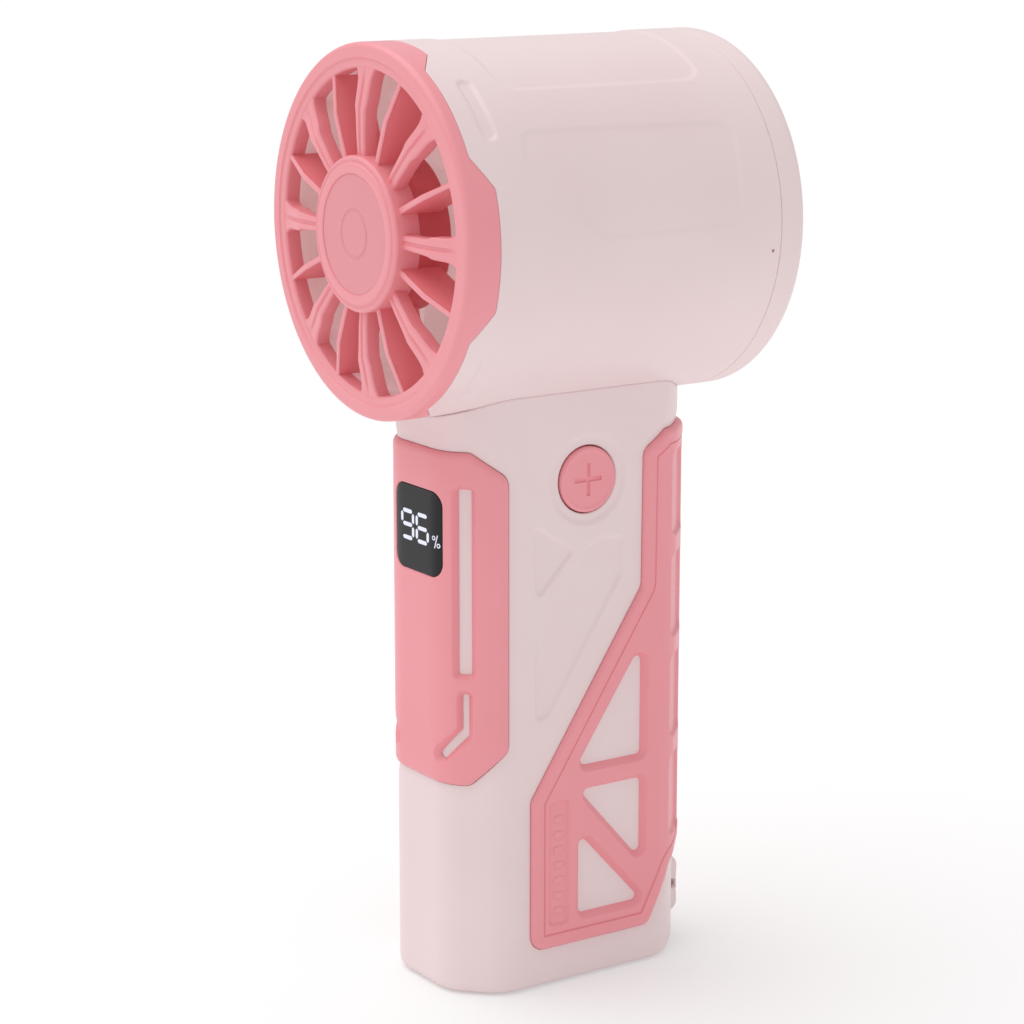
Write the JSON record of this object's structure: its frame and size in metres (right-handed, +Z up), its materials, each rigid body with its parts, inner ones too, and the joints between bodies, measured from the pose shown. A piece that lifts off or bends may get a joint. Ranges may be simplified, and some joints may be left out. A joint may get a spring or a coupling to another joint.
{
  "type": "handheld electric fan",
  "caption": "Handheld turbo fan: ducted impeller in a round barrel on an upright grip, with display panel, side trusses and push buttons.",
  "frame": {"origin": "centre of the base of the bounding box, on the surface that the fan stands on", "axes": "+Z up, air leaves towards -Y, plus button on +X"},
  "size_m": [0.065, 0.076, 0.1708],
  "materials": {
    "pale_shell": "fine satin pale pink ABS",
    "coral_trim": "satin coral pink ABS",
    "duct_plastic": "pale pink ABS, inside",
    "impeller_plastic": "moulded plastic",
    "motor_metal": "turned",
    "steel": "bright zinc",
    "copper": "enamelled winding",
    "magnet": "sintered magnet",
    "brass": "turned brass",
    "wire": "silicone insulation",
    "black_lens": "gloss black display lens",
    "lit_digit": "white display numerals",
    "board": "green circuit board",
    "black_plastic": "black moulded plastic",
    "cell_wrap": "shrink wrapped lithium cell"
  },
  "bodies": {
    "fan_body": {"barrel_housing": "pale_shell", "rear_ring": "pale_shell", "intake_grille": "coral_trim", "front_grille": "coral_trim", "hub_cap": "coral_trim", "flow_duct": "duct_plastic", "motor_case": "motor_metal", "motor_end_cap": "motor_metal", "motor_stator": "steel", "motor_coils": "copper", "front_bearing": "steel", "rear_bearing": "steel", "motor_screws": "steel", "motor_lead": "wire", "handle_shell": "pale_shell", "back_cover": "pale_shell", "grip_frame": "coral_trim", "front_panel": "coral_trim", "display_window": "black_lens", "display_digits": "lit_digit", "display_board": "board", "button_board": "board", "tact_switches": "black_plastic", "control_board": "board", "board_chips": "black_plastic", "charging_socket": "steel", "battery_cell_front": "cell_wrap", "battery_cell_rear": "cell_wrap", "battery_tray": "black_plastic", "battery_tabs": "steel", "cover_screws": "steel", "barrel_screws": "steel"},
    "rotor": {"motor_shaft": "steel", "rotor_magnet": "magnet", "impeller": "impeller_plastic", "impeller_nut": "brass"},
    "plus_key": {"plus_button": "coral_trim"},
    "minus_key": {"minus_button": "coral_trim"}
  },
  "joints": [
    {"name": "impeller_spin", "type": "hinge", "parent": "fan_body", "child": "rotor", "pos_m": [0, 0, 0.1383], "axis": [0, -1, 0], "continuous": true},
    {"name": "plus_press", "type": "slide", "parent": "fan_body", "child": "plus_key", "axis": [-1, 0, 0], "range_m": [0, 0.0005], "stiffness_N_per_m": 1200, "springref_m": -0.0004},
    {"name": "minus_press", "type": "slide", "parent": "fan_body", "child": "minus_key", "axis": [1, 0, 0], "range_m": [0, 0.0005], "stiffness_N_per_m": 1200, "springref_m": -0.0004}
  ]
}
